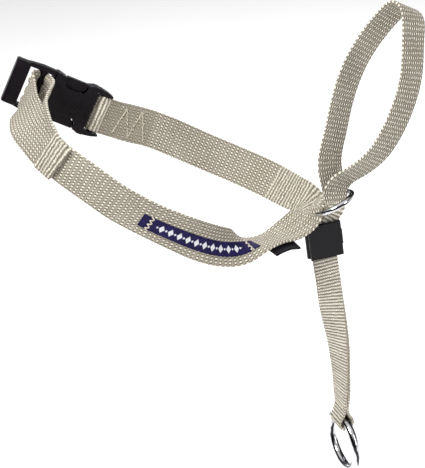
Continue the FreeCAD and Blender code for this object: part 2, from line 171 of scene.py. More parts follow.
chin_line = [
    (vec(77.2, 1.2, -17.8), vec(-1, -0.1, 0.0), 12.4),
    (vec(77.4, 0.0, -21.5), vec(-1, -0.12, 0.0), 12.0),
    (vec(77.2, -0.9, -25.3), vec(-1, -0.14, 0.0), 10.6),
    (vec(76.2, -1.7, -29.6), vec(-1, -0.16, 0.1), 8.6),
    (vec(73.1, -2.35, -33.6), vec(-1, -0.17, 0.2), 6.8),
    (vec(70.9, -2.45, -37.0), vec(-1, -0.18, 0.3), 8.2),
    (vec(70.0, -2.5, -41.0), vec(-1, -0.18, 0.2), 11.2),
    (vec(69.7, -2.5, -47.0), yawed(10), 12.5),
    (vec(70.35, -2.5, -57.5), yawed(10), NOSE),
    (vec(71.1, -2.5, -67.5), yawed(10), NOSE),
]
tab_line = [
    (71.9, -2.5, -79, -10.0),
    (73.1, -2.5, -91, -28.0),
    (74.2, -2.5, -103, -42.0),
    (74.7, -2.5, -115, -53.0),
    (74.8, -2.4, -127, -61.0),
    (74.4, -2.2, -139, -69.0),
    (74.1, -2.0, -144.5, -72.0),
]
nose_strand = [
    (vec(76.0, 3.8, -8), vec(-0.95, -0.3, 0.15), NOSE),
    (vec(79.7, 7.5, 7), vec(-0.9, -0.37, 0.25), NOSE),
    (vec(85, 12, 23), vec(-0.88, -0.38, 0.28), NOSE),
    (vec(92, 16, 38), vec(-0.88, -0.36, 0.3), NOSE),
    (vec(101, 18, 51), vec(-0.88, -0.3, 0.36), NOSE),
    (vec(109.5, 16.5, 61), vec(-0.87, -0.25, 0.44), NOSE),
    (vec(115.8, 11, 66.8), vec(-0.85, -0.2, 0.5), NOSE),
    (vec(118.6, 4, 64.6), vec(-0.85, -0.23, 0.5), NOSE),
    (vec(118, -2, 54.5), vec(-0.86, -0.4, 0.33), NOSE),
    (vec(115.5, -7, 38), vec(-0.87, -0.42, 0.3), NOSE),
    (vec(108, -10, 18), vec(-0.87, -0.38, 0.33), NOSE),
    (vec(98, -8.5, 1), vec(-0.85, -0.4, 0.4), NOSE),
    (vec(86.5, -4, -9.5), vec(-0.85, -0.4, 0.45), NOSE),
]


def chin_layer(side):
    """One layer of the doubled chin strap; side 1 is the back, -1 the front."""
    route = []
    for i, (centre, across, width) in enumerate(chin_line):
        after = chin_line[min(i + 1, len(chin_line) - 1)][0]
        before = chin_line[max(i - 1, 0)][0]
        along = unit(after - before)
        back = np.cross(along, square_to(across, along))
        route.append((centre + back * (side * LAYER), across, width))
    return route


def tab_layer(side):
    """One layer of the hanging tab, which turns as it comes down."""
    route = []
    for x, y, z, yaw in tab_line:
        across = yawed(yaw)
        back = np.cross(vec(0, 0, -1), across)
        route.append((vec(x, y, z) + back * (side * LAYER), across, NOSE))
    return route


leash_top = vec(74.0, -2, -150.8)
leash_across = yawed(-72)
leash_back = np.cross(vec(0, 0, -1), leash_across)
leash_neck = leash_top + vec(0, 0, 2.9)
leash_turn = [(leash_neck - leash_back * 1.95, leash_across, 12.0)]
leash_turn += fold(leash_top - vec(0, 0, 1.3), vec(0, 0, -1), -leash_back, 3.7, leash_across, 11.2)
leash_turn += [(leash_neck + leash_back * 1.95, leash_across, 12.0)]

nose_start = (vec(77.0, 2.0, -17.2), vec(-0.97, -0.2, 0.1), 12.5)
nose_end = (vec(79.6, -1.0, -15.6), vec(-0.9, -0.35, 0.4), 12.5)
nose_route = chin_layer(1)[3:0:-1] + [nose_start] + nose_strand + [nose_end] + chin_layer(-1)[1:4]
lead_route = chin_layer(-1)[2:] + tab_layer(-1) + leash_turn + tab_layer(1)[::-1] + chin_layer(1)[:1:-1]


# ---- sampling a route ----
def cubic(points, knots):
    """Cubic spline through the points; returns value and slope at any knot value."""
    p = np.asarray(points, float)
    k = np.asarray(knots, float)
    h = np.diff(k)
    d = np.diff(p, axis=0) / h[:, None]
    first = d[0] - (d[1] - d[0]) * h[0] / (h[0] + h[1])
    last = d[-1] + (d[-1] - d[-2]) * h[-1] / (h[-1] + h[-2])
    n = len(p)
    a = np.zeros((n, n))
    b = np.zeros((n, 3))
    a[0, 0] = a[-1, -1] = 1
    b[0] = first
    b[-1] = last
    for i in range(1, n - 1):
        a[i, i - 1] = h[i]
        a[i, i] = 2 * (h[i - 1] + h[i])
        a[i, i + 1] = h[i - 1]
        b[i] = 3 * (h[i] * d[i - 1] + h[i - 1] * d[i])
    m = np.linalg.solve(a, b)

    def at(x):
        i = np.clip(np.searchsorted(k, x, side="right") - 1, 0, n - 2)
        s = h[i][:, None]
        f = ((x - k[i]) / h[i])[:, None]
        value = (p[i] * (1 + 2 * f) * (1 - f) ** 2 + m[i] * s * f * (1 - f) ** 2
                 + p[i + 1] * f * f * (3 - 2 * f) + m[i + 1] * s * f * f * (f - 1))
        slope = ((p[i + 1] - p[i]) * (6 * f * (1 - f)) / s + m[i] * (1 - f) * (1 - 3 * f)
                 + m[i + 1] * f * (3 * f - 2))
        return value, slope

    return at


def catmull(values, knots, x):
    """Catmull-Rom through scalars or vectors."""
    v = np.asarray(values, float)
    v = v.reshape(len(v), -1)
    k = np.asarray(knots, float)
    i = np.clip(np.searchsorted(k, x, side="right") - 1, 0, len(k) - 2)
    lo = np.clip(i - 1, 0, None)
    hi = np.clip(i + 2, None, len(k) - 1)
    span = (k[i + 1] - k[i])[:, None]
    f = (x - k[i])[:, None] / span
    g0 = (v[i + 1] - v[lo]) / (k[i + 1] - k[lo])[:, None] * span
    g1 = (v[hi] - v[i]) / (k[hi] - k[i])[:, None] * span
    h = f * f * (3 - 2 * f)
    return v[i] * (1 - h) + v[i + 1] * h + g0 * f * (1 - f) ** 2 + g1 * f * f * (f - 1)


class Line:
    """Sampled webbing route: centre, along, side, face normal, width and arc length of each station."""

    def __init__(self, route, step=0.58):
        centres = [r[0] for r in route]
        chords = [np.linalg.norm(b - a) for a, b in zip(centres, centres[1:])]
        knots = np.concatenate([[0], np.cumsum(chords)])
        values = []
        for a, b in zip(knots, knots[1:]):
            count = max(3, int(round((b - a) / step)))
            values.extend(np.linspace(a, b, count, endpoint=False))
        values = np.array(values + [knots[-1]])
        self.c, slope = cubic(centres, knots)(values)
        self.t = unit(slope)
        self.s = square_to(catmull([unit(r[1]) for r in route], knots, values), self.t)
        self.n = np.cross(self.t, self.s)
        self.w = catmull([r[2] for r in route], knots, values)[:, 0]
        steps = np.linalg.norm(np.diff(self.c, axis=0), axis=1)
        self.u = np.concatenate([[0], np.cumsum(steps)])
        self.cup = np.zeros(len(self.u))
        self.cup_dir = np.zeros((len(self.u), 3))

    def part(self, first, last):
        """The stations between two arc lengths, both ends included."""
        out = object.__new__(Line)
        i = int(np.argmin(np.abs(self.u - first)))
        j = int(np.argmin(np.abs(self.u - last)))
        for key in ("c", "t", "s", "n", "w", "u", "cup", "cup_dir"):
            setattr(out, key, getattr(self, key)[i:j + 1].copy())
        return out

    def near(self, point):
        """Arc length of the station nearest to a point."""
        return float(self.u[int(np.argmin(np.linalg.norm(self.c - point, axis=1)))])

    def surface(self, v):
        """Points v millimetres across, one row per station; v may be an array of offsets."""
        v = np.broadcast_to(v, (len(self.u), np.shape(v)[-1]))
        cup = np.maximum(self.cup, 1e-6)[:, None]
        flat = (np.sin(cup * v) / cup)[..., None]
        bend = ((1 - np.cos(cup * v)) / cup)[..., None]
        return self.c[:, None] + self.s[:, None] * flat + self.cup_dir[:, None] * bend


# ---- meshes ----
def link(name, mesh):
    piece = bpy.data.objects.new(name, mesh)
    bpy.context.scene.collection.objects.link(piece)
    return piece


def skin_mesh(name, verts, faces, uvs):
    """Smooth mesh with one UV per vertex, both in metres."""
    mesh = bpy.data.meshes.new(name)
    mesh.from_pydata(verts, [], faces)
    layer = mesh.uv_layers.new(name="web")
    index = np.zeros(len(mesh.loops), np.int64)
    mesh.loops.foreach_get("vertex_index", index)
    layer.data.foreach_set("uv", np.array(uvs, np.float32)[index].ravel())
    mesh.polygons.foreach_set("use_smooth", [True] * len(mesh.polygons))
    mesh.update()
    return link(name, mesh)


def tube_faces(rows, count, start=0):
    """Quads and two caps for rows of count vertices each."""
    faces = []
    for i in range(rows - 1):
        a = start + i * count
        b = a + count
        for j in range(count):
            k = (j + 1) % count
            faces.append((a + j, a + k, b + k, b + j))
    faces.append(tuple(start + j for j in range(count - 1, -1, -1)))
    faces.append(tuple(start + (rows - 1) * count + j for j in range(count)))
    return faces


def flat_tube(name, top, bottom, u, v):
    """Closed ribbon between two faces; u and v are the weave's own millimetres."""
    loops = np.concatenate([top, bottom[:, ::-1]], axis=1)
    uv = np.stack(np.broadcast_arrays(u, v), axis=-1)
    uv = np.concatenate([uv, uv[:, ::-1]], axis=1) * MM
    rows, count = loops.shape[:2]
    verts = (loops.reshape(-1, 3) * MM).tolist()
    return skin_mesh(name, verts, tube_faces(rows, count), uv.reshape(-1, 2))


def wander(u, seed, scale):
    """Slow seeded waviness along the webbing."""
    waves = np.sin(u / 17.0 + seed) + 0.6 * np.sin(u / 7.3 + 2.1 * seed) + 0.35 * np.sin(u / 3.9 + 3.7 * seed)
    return waves * scale


def webbing(name, line, nominal, thick=WEB, ripple=None, columns=0.75, rib=0.07, seed=0.0):
    """Woven strap with rounded, scalloped selvages. ripple(u, f) moves both faces along the normal."""
    inner = np.linspace(-0.93, 0.93, max(5, int(round(nominal / columns))))
    f = np.concatenate([[-1.0, -0.975], inner, [0.975, 1.0]])
    edge = np.abs(f) > 0.95
    half_thick = thick / 2 * np.where(np.abs(f) > 0.99, 0.32, np.where(edge, 0.78, 1.0))
    u = line.u[:, None]
    scallop = 0.11 * np.cos(2 * np.pi * line.u / ROW) + wander(line.u, seed + 1.3, 0.05)
    half = line.w / 2 + scallop
    points = line.surface(half[:, None] * f[None])
    lift = np.zeros((len(line.u), len(f))) + wander(u, seed, 0.06)
    if ripple is not None:
        lift = lift + ripple(u, f[None])
    row = np.cos(2 * np.pi * u / ROW) * rib * np.where(edge, 0.3, 1.0)
    top = points + line.n[:, None] * (half_thick + lift + row)[..., None]
    bottom = points + line.n[:, None] * (lift - half_thick - row)[..., None]
    return flat_tube(name, top, bottom, u, f * nominal / 2)


def tape(name, line, width, thick, offset, shift):
    """Flat ribbon laid on a strap: offset along the normal, shift across. Its two ends dip into the strap."""
    f = np.concatenate([[-1.0], np.linspace(-0.96, 0.96, 9), [1.0]])
    half_thick = thick / 2 * np.where(np.abs(f) > 0.99, 0.3, 1.0)
    points = line.surface(f * width / 2 + shift)
    from_end = np.minimum(line.u - line.u[0], line.u[-1] - line.u)[:, None]
    sink = -np.sign(offset) * 0.35 * (1 - smooth(from_end / 0.5))
    top = points + line.n[:, None] * (half_thick + offset + sink)[..., None]
    bottom = points + line.n[:, None] * (offset - half_thick + sink)[..., None]
    return flat_tube(name, top, bottom, line.u[:, None] - line.u[0], f * width / 2)


def stitches(name, paths, radius, count=9, sides=7):
    """One mesh of thread: each path is a list of points and becomes a tube that thins at both ends."""
    verts = []
    faces = []
    uvs = []
    for path in paths:
        path = np.asarray(path, float)
        knots = np.linspace(0, len(path) - 1, count)
        line = np.stack([np.interp(knots, range(len(path)), path[:, i]) for i in range(3)], axis=1)
        along = unit(np.gradient(line, axis=0))
        ref = np.where(np.abs(along[:, 2:3]) < 0.9, vec(0, 0, 1), vec(1, 0, 0))
        a = unit(np.cross(along, ref))
        b = np.cross(along, a)
        faces += tube_faces(count, sides, len(verts))
        for i in range(count):
            taper = radius * (1 if 0 < i < count - 1 else 0.6)
            for k in range(sides):
                t = 2 * math.pi * k / sides
                verts.append(tuple((line[i] + (a[i] * math.cos(t) + b[i] * math.sin(t)) * taper) * MM))
                uvs.append((i * 0.0004, k * 0.0003))
    return skin_mesh(name, verts, faces, uvs)


def stitch_row(line, points, offset, length):
    """Thread arcs along a polyline of (arc length, shift) points on a strap; their ends dive into it."""
    paths = []
    for (u0, v0), (u1, v1) in zip(points, points[1:]):
        run = math.hypot(u1 - u0, v1 - v0)
        count = max(1, int(round(run / length)))
        for k in range(count):
            path = []
            for g, rise in ((0.04, -0.35), (0.2, 0.0), (0.5, 0.12), (0.8, 0.0), (0.96, -0.35)):
                h = (k + g) / count
                u = u0 + (u1 - u0) * h
                v = v0 + (v1 - v0) * h
                i = int(np.argmin(np.abs(line.u - u)))
                point = line.surface(np.array([v]))[i, 0]
                path.append(point + line.n[i] * (offset + rise * np.sign(offset)))
            paths.append(path)
    return paths


# ---- materials ----
class Shader:
    """Small helper to build one node material."""

    def __init__(self, name):
        self.material = bpy.data.materials.new(name)
        self.material.use_nodes = True
        self.tree = self.material.node_tree
        self.tree.nodes.clear()
        self.out = self.tree.nodes.new("ShaderNodeOutputMaterial")
        self.bsdf = self.tree.nodes.new("ShaderNodeBsdfPrincipled")
        self.link(self.bsdf.outputs[0], self.out.inputs[0])

    def link(self, a, b):
        self.tree.links.new(a, b)

    def put(self, socket, value):
        if isinstance(value, bpy.types.NodeSocket):
            self.link(value, socket)
        elif value is not None:
            socket.default_value = value

    def node(self, kind, **settings):
        node = self.tree.nodes.new(kind)
        for key, value in settings.items():
            setattr(node, key, value)
        return node

    def math(self, operation, a, b=None):
        node = self.node("ShaderNodeMath", operation=operation)
        self.put(node.inputs[0], a)
        self.put(node.inputs[1], b)
        return node.outputs[0]

    def add(self, a, b):
        return self.math("ADD", a, b)

    def minus(self, a, b):
        return self.math("SUBTRACT", a, b)

    def times(self, a, b):
        return self.math("MULTIPLY", a, b)

    def size(self, a):
        return self.math("ABSOLUTE", a)

    def noise(self, vector, scale, detail=2.0, roughness=0.5):
        node = self.node("ShaderNodeTexNoise")
        self.put(node.inputs["Vector"], vector)
        node.inputs["Scale"].default_value = scale
        node.inputs["Detail"].default_value = detail
        node.inputs["Roughness"].default_value = roughness
        return node.outputs["Fac"]

    def span(self, value, low, high, to_low=0.0, to_high=1.0, smooth_step=False):
        node = self.node("ShaderNodeMapRange")
        node.interpolation_type = "SMOOTHSTEP" if smooth_step else "LINEAR"
        self.put(node.inputs["Value"], value)
        node.inputs["From Min"].default_value = low
        node.inputs["From Max"].default_value = high
        node.inputs["To Min"].default_value = to_low
        node.inputs["To Max"].default_value = to_high
        return node.outputs[0]

    def mix(self, factor, a, b):
        node = self.node("ShaderNodeMix", data_type="RGBA")
        self.put(node.inputs["Factor"], factor)
        self.put(node.inputs["A"], a if isinstance(a, bpy.types.NodeSocket) else (*a, 1))
        self.put(node.inputs["B"], b if isinstance(b, bpy.types.NodeSocket) else (*b, 1))
        return node.outputs["Result"]

    def bump(self, height, strength, distance):
        node = self.node("ShaderNodeBump")
        node.inputs["Strength"].default_value = strength
        node.inputs["Distance"].default_value = distance
        self.put(node.inputs["Height"], height)
        return node.outputs["Normal"]

    def uv(self):
        """The web UV as a vector, and its two halves: along and across, in metres."""
        node = self.node("ShaderNodeUVMap", uv_map="web")
        split = self.node("ShaderNodeSeparateXYZ")
        self.link(node.outputs[0], split.inputs[0])
        return node.outputs[0], split.outputs[0], split.outputs[1]

    def place(self):
        """Object coordinates."""
        return self.node("ShaderNodeTexCoord").outputs["Object"]

    def set(self, **values):
        for key, value in values.items():
            self.put(self.bsdf.inputs[key.replace("_", " ")], value)
        return self.material


def weave_material(name, dark, mid, light, row=ROW, column=COLUMN, long=0.66, wide=0.62, pit=0.42,
                   line=0.5, ribs=0.0, barred=False):
    """Webbing in three colours, placed by its web UV: a painted shade colour, the webbing's own tan and a
    painted highlight colour.

    Raised floats are ovals of half size long by wide millimetres, one per row and column, with flatter ones
    half a step between them; raised floats get the painted highlight colour. pit is the size of the gaps
    painted dark as painted shade and line how dark the painted shade line at the edge of a row is. ribs turns
    the rows into the fine ribs of gathered webbing, with painted highlight on their crests and painted shade
    in their troughs, barred leaves out the flatter floats.
    """
    s = Shader(name)
    uv, u, v = s.uv()
    drift = s.span(s.noise(uv, 420.0, 3.0), 0.25, 0.75, -0.16, 0.16)
    x = s.add(s.times(u, 1 / MM / row), drift)
    y = s.times(v, 1 / MM / column)

    def centred(value, shift):
        return s.minus(s.math("FRACT", s.add(value, shift + 0.5)), 0.5)

    def oval(fx, fy, long, wide, soft):
        ax = s.math("POWER", s.size(s.times(fx, row / long)), 2.0)
        ay = s.math("POWER", s.size(s.times(fy, column / wide)), 2.0)
        return s.span(s.add(ax, ay), soft, 1.15, 1.0, 0.0, True)

    fx = centred(x, 0.0)
    fy = centred(y, 0.0)
    half_x = centred(x, 0.5)
    half_y = centred(y, 0.5)
    lean = s.add(fx, s.times(fy, 0.25))
    high = oval(lean, fy, long, wide, 0.2)
    if barred:
        low = 0.0
        gap = oval(half_x, fy, 0.38, pit * wide, 0.1)
    else:
        low = oval(half_x, half_y, 1.28 - long, 0.9 * wide, 0.1)
        gap = oval(fx, half_y, 0.94 * long, pit * wide, 0.1)
    # painted shade: a dark line where each row of raised floats ends
    from_edge = s.size(s.minus(s.size(fx), 1.03 * long / row))
    row_edge_shade = s.span(from_edge, 0.0, 0.09, 1.0, 0.0, True)

    fibre_at = s.node("ShaderNodeCombineXYZ")
    s.put(fibre_at.inputs[0], s.times(u, 1400.0))
    s.put(fibre_at.inputs[1], s.times(v, 9000.0))
    fibre = s.noise(fibre_at.outputs[0], 1.0, 2.0)
    uneven = s.noise(uv, 1100.0, 1.0)
    tone = s.noise(s.place(), 45.0, 3.0)
    fuzz = s.noise(s.place(), 1500.0, 2.0)

    height = s.add(high, s.times(low, 0.4))
    height = s.minus(height, s.times(gap, 0.5))
    height = s.add(height, s.times(fibre, 0.2))
    # painted highlight: raised floats turn towards the light colour, mixed with the yarn's own random tone
    tone_and_highlight = s.times(high, s.span(uneven, 0.3, 0.7, 0.34, 0.62))
    tone_and_highlight = s.add(tone_and_highlight, s.times(low, 0.10))
    tone_and_highlight = s.add(tone_and_highlight, s.span(fibre, 0.3, 0.7, -0.06, 0.08))
    tone_and_highlight = s.add(tone_and_highlight, s.span(tone, 0.3, 0.7, -0.05, 0.05))
    tone_and_highlight = s.add(tone_and_highlight, s.span(fuzz, 0.3, 0.7, -0.07, 0.07))
    # painted shade: the gaps between floats and the row edges turn dark
    painted_shade = s.math("MAXIMUM", gap, s.times(row_edge_shade, line))
    painted_shade = s.times(painted_shade, s.span(uneven, 0.3, 0.7, 1.0, 0.65))
    if ribs:
        # painted highlight on the rib crests and painted shade in the rib troughs
        lines = s.math("COSINE", s.times(x, 2 * math.pi * RIBS_PER_ROW))
        height = s.add(s.times(height, 0.4), s.times(lines, 0.5))
        tone_and_highlight = s.add(s.times(tone_and_highlight, 0.5), s.span(lines, -0.2, 0.9, -0.05, ribs))
        painted_shade = s.math("MAXIMUM", s.times(painted_shade, 0.4), s.span(lines, -1.0, -0.3, 0.5, 0.0))
    shade = s.mix(s.span(tone_and_highlight, 0.0, 0.55, 0.0, 1.0), mid, light)
    shade = s.mix(painted_shade, shade, dark)
    normal = s.bump(height, 0.85, 0.0003)
    return s.set(Base_Color=shade, Roughness=s.span(high, 0.0, 1.0, 0.9, 0.66), Normal=normal,
                 Sheen_Weight=0.1, Sheen_Roughness=0.5, Specular_IOR_Level=0.25)


def thread_material(name, low, high):
    """Twisted sewing thread between two colours."""
    s = Shader(name)
    uv, u, v = s.uv()
    twist = s.math("SINE", s.add(s.times(u, 9000.0), s.times(v, 9000.0)))
    tone = s.noise(s.place(), 1500.0, 2.0)
    shade = s.mix(s.span(tone, 0.3, 0.7), low, high)
    return s.set(Base_Color=shade, Roughness=0.6, Normal=s.bump(twist, 0.5, 0.0001), Sheen_Weight=0.2)


def plastic_material(name, low, high, rough):
    """Moulded plastic with a fine grain and a few scuffs."""
    s = Shader(name)
    place = s.place()
    grain = s.noise(place, 3200.0, 2.0)
    cloud = s.noise(place, 60.0, 4.0)
    scuff = s.noise(place, 420.0, 5.0, 0.7)
    shade = s.mix(s.span(cloud, 0.3, 0.75), low, high)
    roughness = s.add(s.span(cloud, 0.3, 0.7, rough - 0.05, rough + 0.06),
                      s.span(scuff, 0.55, 0.8, 0.0, 0.12))
    return s.set(Base_Color=shade, Roughness=roughness, Normal=s.bump(grain, 0.25, 0.00006),
                 Specular_IOR_Level=0.22)


def metal_material(name):
    """Polished wire: bright plating broken by darker bands that follow its curve; the bands are painted
    reflections of a dark studio, set in the base colour by the way the surface faces.
    """
    s = Shader(name)
    coords = s.node("ShaderNodeTexCoord")
    split = s.node("ShaderNodeSeparateXYZ")
    s.link(coords.outputs["Normal"], split.inputs[0])
    place = coords.outputs["Object"]
    brush = s.noise(place, 700.0, 4.0, 0.6)
    cloud = s.noise(place, 110.0, 2.0)
    # painted reflection: the base colour turns dark or bright by the direction the surface faces
    reflection_wave = s.add(s.times(split.outputs[2], 5.0), s.times(split.outputs[0], 3.2))
    reflection_wave = s.add(reflection_wave, s.times(split.outputs[1], 2.6))
    reflection_wave = s.math("SINE", s.add(reflection_wave, s.span(cloud, 0.3, 0.7, -0.8, 0.8)))
    painted_reflection_bands = s.span(reflection_wave, -0.55, 0.05, 0.0, 1.0, True)
    shade = s.mix(painted_reflection_bands, (0.035, 0.035, 0.04), (0.70, 0.70, 0.72))
    return s.set(Base_Color=shade, Metallic=1.0, Roughness=s.span(brush, 0.35, 0.75, 0.06, 0.16),
                 Normal=s.bump(cloud, 0.12, 0.0004))


def thread_ripple(s, u, v, along, across):
    """Sines of the tape's own threads: pitch in millimetres along and across it."""
    rib = s.math("SINE", s.times(u, 2 * math.pi / MM / along))
    cross = s.math("SINE", s.times(v, 2 * math.pi / MM / across))
    return rib, cross


def label_material(name, pitch=4.8, first=9.4, last=58.7):
    """Navy satin tape with a plain row of white lozenges and dots between first and last, in millimetres."""
    s = Shader(name)
    uv, u, v = s.uv()
    step = s.math("FRACT", s.times(s.minus(u, (first + 1.1) * MM), 1 / MM / pitch))
    ax = s.size(s.times(s.minus(step, 0.5), pitch))
    av = s.size(s.times(v, 1 / MM))
    lozenge = s.add(s.math("DIVIDE", ax, 1.45), s.math("DIVIDE", av, 1.95))
    lozenge = s.span(lozenge, 0.9, 1.1, 1.0, 0.0)
    rest = s.minus(pitch / 2, ax)
    dot = s.math("SQRT", s.add(s.math("POWER", rest, 2.0), s.math("POWER", av, 2.0)))
    dot = s.span(dot, 0.42, 0.62, 1.0, 0.0)
    begins = s.span(u, (first - 0.2) * MM, (first + 0.2) * MM)
    stops = s.span(u, (last - 0.2) * MM, (last + 0.2) * MM, 1.0, 0.0)
    mark = s.times(s.math("MAXIMUM", lozenge, dot), s.times(begins, stops))
    rib, cross = thread_ripple(s, u, v, 0.55, 0.4)
    height = s.add(s.times(rib, 0.5), s.times(cross, 0.35))
    height = s.add(height, s.times(mark, 0.8))
    tone = s.noise(s.place(), 300.0, 3.0)
    navy = s.mix(s.span(tone, 0.3, 0.7), (0.006, 0.004, 0.040), (0.014, 0.009, 0.075))
    shade = s.mix(mark, navy, (0.72, 0.72, 0.76))
    return s.set(Base_Color=shade, Roughness=0.6, Normal=s.bump(height, 0.35, 0.0001),
                 Specular_IOR_Level=0.15)


def tag_material(name):
    """Plain black woven tape."""
    s = Shader(name)
    uv, u, v = s.uv()
    rib, cross = thread_ripple(s, u, v, 0.7, 0.5)
    tone = s.noise(s.place(), 260.0, 3.0)
    shade = s.mix(s.span(tone, 0.3, 0.7), (0.003, 0.0025, 0.004), (0.010, 0.008, 0.012))
    return s.set(Base_Color=shade, Roughness=0.6, Specular_IOR_Level=0.12,
                 Normal=s.bump(s.times(rib, cross), 0.4, 0.0001))


# each weave: a painted shade colour for its gaps, the webbing's tan, and a painted highlight colour for its
# raised floats
webbing_skin = weave_material(
    "webbing_weave", (0.04, 0.034, 0.025), (0.31, 0.275, 0.212), (0.85, 0.80, 0.685), pit=0.55)
narrow_skin = weave_material(
    "narrow_webbing_weave", (0.03, 0.026, 0.02), (0.33, 0.295, 0.225), (0.95, 0.90, 0.78),
    row=1.8, column=1.12, long=0.6, wide=0.6, pit=0.7, line=0.35, barred=True)
loop_skin = weave_material(
    "nose_webbing_weave", (0.025, 0.021, 0.016), (0.255, 0.226, 0.172), (0.93, 0.88, 0.76),
    row=2.25, column=1.27, long=0.75, wide=0.44, pit=0.6, line=0.3)
ribbed_skin = weave_material(
    "gathered_webbing_weave", (0.07, 0.06, 0.045), (0.30, 0.268, 0.205), (0.80, 0.75, 0.64), ribs=0.45)
flap_skin = weave_material(
    "stitched_webbing_weave", (0.09, 0.078, 0.058), (0.29, 0.26, 0.20), (0.50, 0.46, 0.38))
thread_skin = thread_material("tan_thread", (0.52, 0.46, 0.36), (0.80, 0.73, 0.60))
buckle_skin = plastic_material("buckle_moulding", (0.0035, 0.0022, 0.0038), (0.009, 0.006, 0.010), 0.3)
clamp_skin = plastic_material("clamp_moulding", (0.002, 0.0012, 0.0026), (0.006, 0.0042, 0.0072), 0.32)
metal_skin = metal_material("ring_metal_painted_reflections")
label_skin = label_material("label_tape")
tag_skin = tag_material("tag_tape")


def wear(piece, material):
    """Puts one material on a piece."""
    piece.data.materials.clear()
    piece.data.materials.append(material)
    return piece


def wear_span(piece, material, first, last):
    """Second material on the stretch of webbing between two arc lengths."""
    piece.data.materials.append(material)
    index = len(piece.data.materials) - 1
    layer = piece.data.uv_layers["web"].data
    for face in piece.data.polygons:
        u = sum(layer[i].uv[0] for i in face.loop_indices) / len(face.loop_indices) / MM
        if first < u < last:
            face.material_index = index


# ---- neck band: arc lengths of the places along it ----
band = Line(neck_route)
fold_u = band.near(fold_centre + ring_out * RING_WRAP)
reach = np.abs(band.u - fold_u)
band.cup = 0.105 * (1 - smooth((reach - 5.0) / 9.0))
band.cup_dir = np.broadcast_to(ring_out, band.c.shape).copy()
bar_u = band.near(on_buckle(FEMALE_BAR - BAR_WRAP, 0, 0))
far_u = band.near(far_first[0])
face_u = bar_u + 1.5
rib_start = fold_u - 40
tail_u = band.u[-1]
seam_u = band.near(vec(64.4, 0.2, -28.9))
join_u = band.near(vec(-40, -45, 18.7))
centre_u = band.near(on_buckle(CENTRE_BAR, 0, -2.35))


def neck_ripple(u, f):
    """Lift of the neck band's faces: u is the arc length and f runs from -1 to 1 across."""
    before_ring = smooth((u - fold_u + 20) / 14) * (1 - smooth((u - fold_u + 5) / 5))
    pleats = np.cos(2 * np.pi * (1.6 * f + 0.18) + 0.05 * u) * before_ring * 0.4
    gathered = smooth((u - rib_start) / 2) * (1 - smooth((u - fold_u + 6) / 6))
    ribs = np.cos(2 * np.pi * RIBS_PER_ROW * u / ROW) * gathered * 0.14
    after_ring = smooth((u - fold_u - 5) / 5) * (1 - smooth((u - fold_u - 24) / 14))
    creases = np.cos(2 * np.pi * (1.7 * f - 0.1)) * after_ring * 0.25
    at_bar = np.exp(-((u - face_u - 3.2) / 2.6) ** 4)
    bar_lines = np.cos(2 * np.pi * (u - face_u) / 2.1) * at_bar * 0.2
    return pleats + ribs + creases + bar_lines


def adjuster_ripple(u, f):
    """Finger-like folds where the webbing passes the centre bar, and ridges at the tail's end."""
    at_bar = np.exp(-((np.abs(u - centre_u) - 11) / 7.5) ** 2)
    fingers = np.cos(2 * np.pi * (1.9 * f + 0.1)) * at_bar * 0.5
    at_end = np.exp(-((tail_u - u - 3.6) / 3.4) ** 4)
    ridges = np.cos(2 * np.pi * (u - tail_u) / 2.3) * at_end * 0.34
    return fingers + ridges


far_band = webbing("neck_band_far", band.part(0, seam_u), NECK, ripple=neck_ripple, seed=0.4)
near_band = webbing("neck_band_near", band.part(seam_u, join_u), NECK, ripple=neck_ripple, seed=0.4)
adjuster = webbing("adjuster_webbing", band.part(join_u, tail_u), NECK, ripple=adjuster_ripple, seed=0.4)
for piece in (far_band, near_band, adjuster):
    wear(piece, webbing_skin)
wear_span(far_band, ribbed_skin, rib_start, fold_u - 8)
wear_span(far_band, ribbed_skin, bar_u + 1, bar_u + 8)
wear_span(far_band, flap_skin, bar_u + 8, far_u + 3)
wear_span(adjuster, ribbed_skin, tail_u - 7.5, tail_u + 1)
hem_line = band.part(tail_u - 10.5, tail_u - 0.3)
hem = webbing("tail_hem_fold", hem_line, NECK - 0.2, thick=1.1, seed=2.0, rib=0.13)
hem.data.transform(Matrix.Translation(Vector(band.n[-1]) * (1.25 * MM)))
wear(hem, ribbed_skin)

# ---- nose loop, chin strap and lead tab ----
nose_line = Line(nose_route)
nose = wear(webbing("nose_loop_webbing", nose_line, NOSE, seed=1.1, columns=0.7), loop_skin)
lead_line = Line(lead_route)
front_u = lead_line.near(vec(70.5, -3.25, -60))
back_u = lead_line.near(vec(70.5, -1.75, -60))
chin_front = webbing("chin_strap_front", lead_line.part(0, front_u), NOSE, seed=1.7, columns=0.7)
lead = webbing("lead_tab_webbing", lead_line.part(front_u, back_u), NOSE, seed=1.7, columns=0.7)
chin_back = webbing("chin_strap_back", lead_line.part(back_u, lead_line.u[-1]), NOSE, seed=1.7, columns=0.7)
for piece in (chin_front, lead, chin_back):
    wear(piece, narrow_skin)

# ---- label, tag and their tacks ----
OUTER = -(WEB / 2 + 0.28)     # middle of the label's thickness, on the outside of the band
LABEL_SHIFT = -1.2
label_a = band.near(vec(34.5, -23, -33))
label_b = band.near(vec(-15.5, -49.3, -0.7))
label_line = band.part(label_a, label_b)
label = wear(tape("woven_label", label_line, 7.0, 0.45, OUTER, LABEL_SHIFT), label_skin)
tag_a = band.near(vec(50, -12, -34))
tag_b = band.near(vec(36.5, -21.5, -33.5))
tag_line = band.part(tag_a, tag_b)
tag = wear(tape("care_tag_tape", tag_line, 8.0, 0.7, WEB / 2 + 0.5, -9.0), tag_skin)


